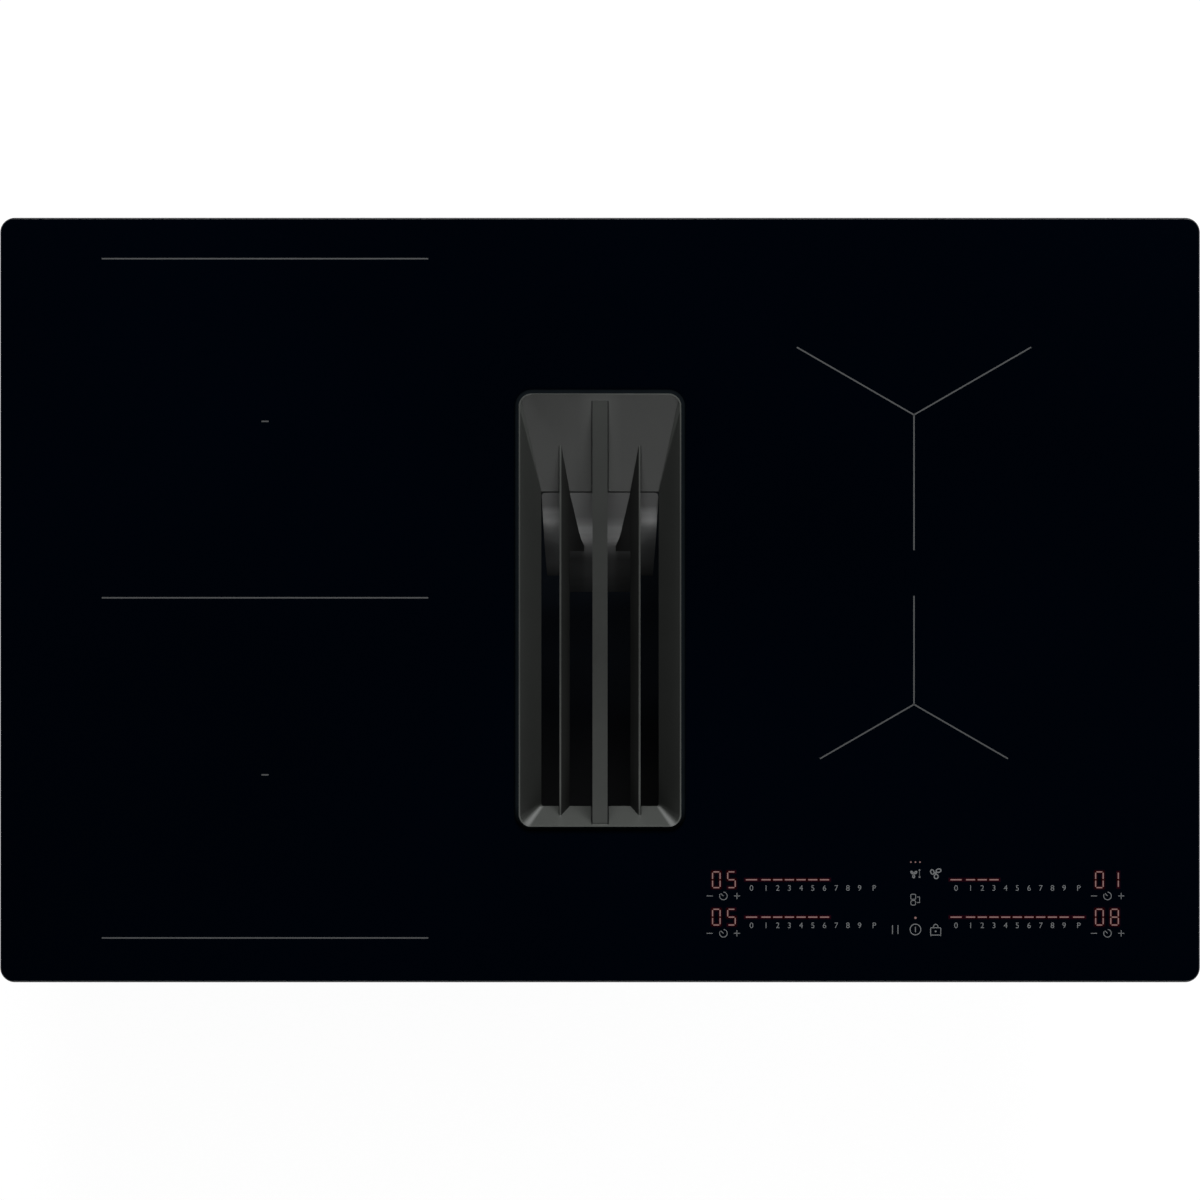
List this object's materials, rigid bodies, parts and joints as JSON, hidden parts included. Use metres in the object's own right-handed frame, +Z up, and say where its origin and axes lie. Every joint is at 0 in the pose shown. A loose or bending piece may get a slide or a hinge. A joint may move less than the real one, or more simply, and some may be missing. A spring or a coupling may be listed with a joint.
{
  "type": "downdraft cooktop",
  "caption": "Built-in black glass induction cooktop with touch controls, and a downdraft extractor with a lift-out inlet grille and filter, a blower and an overflow tray.",
  "frame": {"origin": "centre of the worktop plane under the glass panel, on the seal's underside", "axes": "+X to the cook's right, +Y to the rear, +Z up"},
  "size_m": [0.816, 0.52, 0.2158],
  "materials": {
    "black_glass": "polished black ceramic glass with a ground edge",
    "seal_foam": "closed-cell foam tape",
    "silicone": "black silicone",
    "grille_coat": "matt dark grey coat",
    "filter_plastic": "fine matt black plastic",
    "guide_plastic": "satin dark grey plastic",
    "mesh_steel": "perforated steel",
    "gasket_rubber": "soft black rubber",
    "shaft_plastic": "moulded black plastic",
    "galvanised_steel": "galvanised sheet",
    "tray_aluminium": "mill finish",
    "copper_winding": "varnished copper strand",
    "mica": "pressed mica",
    "carrier_plastic": "glass-filled plastic",
    "ferrite": "dark sintered ferrite",
    "sensor_body": "white ceramic-filled plastic",
    "board_laminate": "green solder mask",
    "nylon": "natural nylon",
    "sink_aluminium": "extruded aluminium",
    "moulded_black": "moulded epoxy",
    "choke_core": "wound choke",
    "fan_plastic": "glass-filled black plastic",
    "motor_steel": "zinc-plated steel",
    "control_white": "white plastic",
    "display_red": "smoked red lens",
    "spring_steel": "plated spring steel",
    "plenum_plastic": "ribbed black plastic",
    "impeller_plastic": "moulded dark grey plastic",
    "stator_steel": "lacquered laminations",
    "bearing_steel": "polished bearing steel",
    "gland_plastic": "black polyamide",
    "terminal_plastic": "light grey plastic",
    "screw_steel": "zinc-plated steel"
  },
  "bodies": {
    "root": {"glass_panel": "black_glass", "worktop_seal": "seal_foam", "glass_adhesive": "silicone", "shaft_gasket": "gasket_rubber", "inlet_shaft": "shaft_plastic", "shaft_seal": "seal_foam", "base_casing": "galvanised_steel", "tray_pillars": "galvanised_steel", "coil_tray": "tray_aluminium", "coil_rear_left": "copper_winding", "coil_front_left": "copper_winding", "coil_rear_right": "copper_winding", "coil_front_right": "copper_winding", "mica_sheets": "mica", "coil_carriers": "carrier_plastic", "ferrite_bars": "ferrite", "temperature_sensors": "sensor_body", "coil_pads": "gasket_rubber", "power_board_left": "board_laminate", "power_board_right": "board_laminate", "board_pegs": "nylon", "heat_sink_left": "sink_aluminium", "heat_sink_right": "sink_aluminium", "power_transistors": "moulded_black", "capacitors": "moulded_black", "chokes": "choke_core", "fan_housing_left": "fan_plastic", "fan_housing_right": "fan_plastic", "fan_motors": "motor_steel", "touch_carrier": "control_white", "touch_board": "board_laminate", "digit_displays": "display_red", "light_bars": "display_red", "touch_springs": "spring_steel", "plenum": "plenum_plastic", "volute": "plenum_plastic", "volute_cover": "plenum_plastic", "motor_grommets": "gasket_rubber", "motor_plate": "motor_steel", "motor_housing": "motor_steel", "motor_stator": "stator_steel", "motor_bearings": "bearing_steel", "outlet_gasket": "gasket_rubber", "outlet_spigot": "shaft_plastic", "terminal_box": "terminal_plastic", "terminal_block": "terminal_plastic", "cable_gland": "gland_plastic", "gland_nut": "gland_plastic", "side_brackets": "galvanised_steel", "casing_screws": "screw_steel"},
    "filter": {"filter_basket": "filter_plastic", "air_guide": "guide_plastic", "grease_mesh_left": "mesh_steel", "grease_mesh_right": "mesh_steel"},
    "grille": {"inlet_grille": "grille_coat"},
    "blower": {"impeller": "impeller_plastic", "motor_rotor": "motor_steel"},
    "left_fan": {"fan_rotor_left": "fan_plastic"},
    "right_fan": {"fan_rotor_right": "fan_plastic"},
    "tray": {"overflow_tray": "shaft_plastic"}
  },
  "joints": [
    {"name": "filter_lift", "type": "slide", "parent": "root", "child": "filter", "axis": [0, 0, 1], "range_m": [0, 0.16]},
    {"name": "grille_lift", "type": "slide", "parent": "filter", "child": "grille", "axis": [0, 0, 1], "range_m": [0, 0.06]},
    {"name": "blower_spin", "type": "hinge", "parent": "root", "child": "blower", "pos_m": [-0.1895, -0.02, -0.15], "axis": [0, 0, 1], "continuous": true},
    {"name": "left_fan_spin", "type": "hinge", "parent": "root", "child": "left_fan", "pos_m": [-0.2225, 0.112, -0.045], "axis": [0, 0, 1], "continuous": true},
    {"name": "right_fan_spin", "type": "hinge", "parent": "root", "child": "right_fan", "pos_m": [0.2225, 0.112, -0.045], "axis": [0, 0, 1], "continuous": true},
    {"name": "tray_release", "type": "slide", "parent": "root", "child": "tray", "axis": [0, 0, -1], "range_m": [0, 0.06]}
  ]
}
